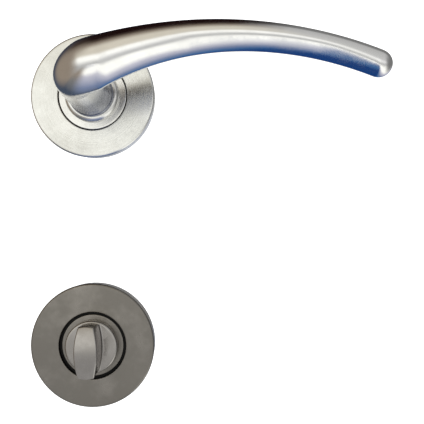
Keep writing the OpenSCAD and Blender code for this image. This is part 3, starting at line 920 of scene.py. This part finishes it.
def make_room():
    """Light from all round. Seen directly, the background is plain white."""
    world = bpy.data.worlds.new("room")
    bpy.context.scene.world = world
    world.use_nodes = True
    graph = Graph(world.node_tree)
    direction = graph.add("ShaderNodeSeparateXYZ")
    graph.link(graph.add("ShaderNodeTexCoord").outputs["Generated"], direction.inputs[0])
    x, y, z = direction.outputs
    angle = graph.math("MULTIPLY", graph.math("ARCTAN2", z, graph.math("MULTIPLY", y, -1)), 180 / math.pi)
    spread = graph.math("ADD", graph.math("MULTIPLY", graph.math("MAXIMUM", x, 0), FAN_SPREAD), FAN_LEAST)
    fan = graph.math("DIVIDE", graph.math("SUBTRACT", FAN_START, angle), spread)
    above = graph.mix(graph.smooth(x, 0.10, 0.27), colour_ramp(graph, angle, ABOVE_LEFT),
                      colour_ramp(graph, angle, ABOVE_RIGHT))
    below = graph.mix(graph.smooth(x, -0.22, -0.34), colour_ramp(graph, fan, BELOW),
                      colour_ramp(graph, angle, BELOW_LEFT))
    room = graph.mix(graph.smooth(angle, FAN_START - 2, FAN_START + 2), below, above)
    room = graph.mix(graph.smooth(x, -0.25, -0.65), room, colour_ramp(graph, angle, FAR_LEFT))
    room = graph.mix(graph.smooth(x, -0.6, -0.95), room, dimmed(LEFT_END))
    room = graph.mix(graph.smooth(x, 0.6, 1.0), room, dimmed(RIGHT_END))
    room = graph.mix(graph.smooth(y, 0.93, 0.985), room, dimmed(BEHIND))
    is_camera = graph.add("ShaderNodeLightPath").outputs["Is Camera Ray"]
    background = graph.add("ShaderNodeBackground")
    graph.link(graph.mix(is_camera, room, (1.0, 1.0, 1.0)), background.inputs["Color"])
    background.inputs["Strength"].default_value = ROOM_LIGHT
    graph.link(background.outputs[0], graph.add("ShaderNodeOutputWorld").inputs["Surface"])


# Cards below the elbow and below the turn: height, then colours over depth for their right and left parts
ELBOW_CARD = (-60,
              [(-230, WHITE), (-150, GLARE), (-112, GLARE), (-88, LILAC), (-30, STEEL_BLUE), (60, SLATE)],
              [(-230, GREY), (-100, TAUPE), (-60, SHADE), (20, SLATE)])
TURN_CARD = (-150, [(-230, PALE), (60, GREY)], [(-230, PALE), (60, GREY)])
CARD_LEFT, CARD_RIGHT = -90, 36
CARD_FRONT, CARD_BACK = -230, 80


def make_card(name, height, right_colours, left_colours):
    """A card which only reflections from above see. It keeps the blue off what is over it."""
    corners = [(x * MM, y * MM, height * MM) for x, y in ((CARD_LEFT, CARD_FRONT), (CARD_RIGHT, CARD_FRONT),
                                                          (CARD_RIGHT, CARD_BACK), (CARD_LEFT, CARD_BACK))]
    mesh = bpy.data.meshes.new(name)
    mesh.from_pydata(corners, [], [(0, 1, 2, 3)])
    card = bpy.data.objects.new(name, mesh)
    bpy.context.scene.collection.objects.link(card)
    material = bpy.data.materials.new(name)
    material.use_nodes = True
    graph = Graph(material.node_tree)
    parts = graph.add("ShaderNodeSeparateXYZ")
    graph.link(graph.add("ShaderNodeTexCoord").outputs["Object"], parts.inputs[0])
    across = graph.math("DIVIDE", parts.outputs["X"], MM)
    depth = graph.math("DIVIDE", parts.outputs["Y"], MM)
    emission = graph.add("ShaderNodeEmission")
    graph.link(graph.mix(graph.smooth(across, -48, -6), colour_ramp(graph, depth, left_colours),
                         colour_ramp(graph, depth, right_colours)), emission.inputs["Color"])
    emission.inputs["Strength"].default_value = ROOM_LIGHT
    inside = graph.math("MULTIPLY", graph.smooth(across, CARD_LEFT, CARD_LEFT + 35),
                        graph.smooth(across, CARD_RIGHT - 2, CARD_RIGHT - 20))
    inside = graph.math("MULTIPLY", inside, graph.smooth(depth, CARD_FRONT, CARD_FRONT + 80))
    from_above = graph.math("SUBTRACT", 1, graph.add("ShaderNodeNewGeometry").outputs["Backfacing"])
    blend = graph.add("ShaderNodeMixShader")
    graph.link(graph.math("MULTIPLY", inside, from_above), blend.inputs[0])
    graph.link(graph.add("ShaderNodeBsdfTransparent").outputs[0], blend.inputs[1])
    graph.link(emission.outputs[0], blend.inputs[2])
    graph.link(blend.outputs[0], graph.add("ShaderNodeOutputMaterial").inputs["Surface"])
    mesh.materials.append(material)
    card.visible_camera = False
    card.visible_diffuse = False
    card.visible_shadow = False


def make_camera():
    """Camera at eye height between the two roses, a little to the right of the neck."""
    data = bpy.data.cameras.new("camera")
    data.sensor_width = 36
    data.lens = 54.85
    camera = bpy.data.objects.new("camera", data)
    camera.location = (0.0502, -0.280, -0.0489)
    camera.rotation_euler = (math.pi / 2, 0, 0)
    bpy.context.scene.collection.objects.link(camera)
    bpy.context.scene.camera = camera


def make_floor():
    """Round pale table well below the set."""
    floor = new_piece("floor", *shell([circle(330, 0), circle(330, 4)]), 0)
    for vertex in floor.data.vertices:
        x, y, z = vertex.co
        vertex.co = (x + 0.03, z - 0.19, y - 0.2)
    floor.data.materials.append(pale_floor("pale_floor"))
    floor.visible_glossy = False


# ---- Assembly ------------------------------------------------------------------------------------------


def dress(node, material, bevel=0.0):
    """Gives a carried-over CAD node its material and, where asked, softened edges."""
    obj = frame["nodes"][node]
    obj.data.materials.clear()
    obj.data.materials.append(material)
    if bevel:
        weld = obj.modifiers.new("weld", "WELD")
        weld.merge_threshold = 1e-6
        soft = obj.modifiers.new("bevel", "BEVEL")
        soft.width = bevel * MM
        soft.segments = 2
        soft.limit_method = "ANGLE"
        soft.angle_limit = math.radians(40)
        soft.harden_normals = False


def place(piece, body, node, slot, material):
    """A finished piece: its material, the body it rides on and the CAD node it stands for."""
    piece.data.materials.clear()
    piece.data.materials.append(material)
    for face in piece.data.polygons:
        face.material_index = 0
    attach(piece, body)
    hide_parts(node)


bpy.context.scene.view_settings.view_transform = "Standard"
make_camera()
make_room()
make_card("elbow_card", *ELBOW_CARD)
make_card("turn_card", *TURN_CARD)
make_floor()

# Up the neck the lever's colour is painted darker and bluer: painted dark reflection.
lever_satin = satin_metal("lever_satin", (0.86, 0.855, 0.84), (0.90, 0.895, 0.885), 0.17,
                          dull=(43, 26, (0.33, 0.345, 0.39), 0.23))
rose_satin = satin_metal("rose_satin", (0.80, 0.80, 0.765), (0.86, 0.86, 0.83), 0.26, 0.03,
                         LEVER_Z, 0.04, 0.7, shaded_gap=(RING_R, COVER_HOLE_R))
ring_satin = satin_metal("ring_satin", (0.80, 0.795, 0.77), (0.86, 0.855, 0.83), 0.22, 0.03, LEVER_Z, 0.04,
                         shaded_gap=(RING_R, COVER_HOLE_R))
# Painted shade: the turn and its rose share the lever's satin finish, but get darker, browner copies of it,
# for the dimmer light on the turn set.
shaded_turn_satin = satin_metal("shaded_turn_satin", (0.37, 0.35, 0.33), (0.44, 0.42, 0.40), 0.22)
shaded_turn_rose_satin = satin_metal("shaded_turn_rose_satin", (0.245, 0.23, 0.208), (0.31, 0.29, 0.265), 0.34, 0.04,
                              TURN_Z, 0.05, 0.5, shaded_gap=(TURN_RING_R, TURN_HOLE_R))
zinc = zinc_casting("zinc_casting")
bright = plated_steel("bright_steel", (0.60, 0.60, 0.60), (0.66, 0.64, 0.58), 0.30)
spring = plated_steel("spring_steel", (0.16, 0.16, 0.17), (0.22, 0.21, 0.22), 0.34)
nylon = moulded_nylon("nylon")

place(make_lever(), "lever", "lever_handle", "satin_lever", lever_satin)
place(make_neck_ring(), "lever", "neck_ring", "satin_lever", ring_satin)
place(make_rose_cover("lever_rose", COVER_HOLE_R, LEVER_Z),
      "roses", "lever_rose_cover", "satin_rose", rose_satin)
place(make_bearing_ring("lever_ring", RING_R, BUSH_R, RING_TOP, LEVER_Z),
      "roses", "lever_bearing_ring", "satin_rose", ring_satin)
place(make_spring(), "roses", "return_spring", "spring_steel", spring)
place(make_bolts("lever_bolts", "lever_through_bolts", LEVER_Z),
      "roses", "lever_through_bolts", "bright_steel", bright)
place(make_wood_screws("lever_screws", "lever_wood_screws", LEVER_Z),
      "roses", "lever_wood_screws", "bright_steel", bright)

place(make_turn(), "turn", "turn_knob", "satin_turn", shaded_turn_satin)
place(make_rose_cover("turn_rose", TURN_HOLE_R, TURN_Z), "roses", "turn_rose_cover", "satin_turn_rose",
      shaded_turn_rose_satin)
place(make_bearing_ring("turn_ring", TURN_RING_R, TURN_BUSH_R, TURN_RING_TOP, TURN_Z),
      "roses", "turn_bearing_ring", "satin_turn_rose", shaded_turn_rose_satin)
place(make_wave_washer(), "turn", "turn_wave_washer", "spring_steel", spring)
place(make_bolts("turn_bolts", "turn_through_bolts", TURN_Z),
      "roses", "turn_through_bolts", "bright_steel", bright)
place(make_wood_screws("turn_screws", "turn_wood_screws", TURN_Z),
      "roses", "turn_wood_screws", "bright_steel", bright)

for side in ("lever", "turn"):
    dress(side + "_under_rose", zinc, 0.2)
    dress(side + "_bush", nylon, 0.12)
    dress(side + "_circlip", spring, 0.1)
    dress(side + "_spindle", bright, 0.35)
    dress(side + "_set_screw", spring, 0.1)
dress("spring_driver", bright, 0.1)
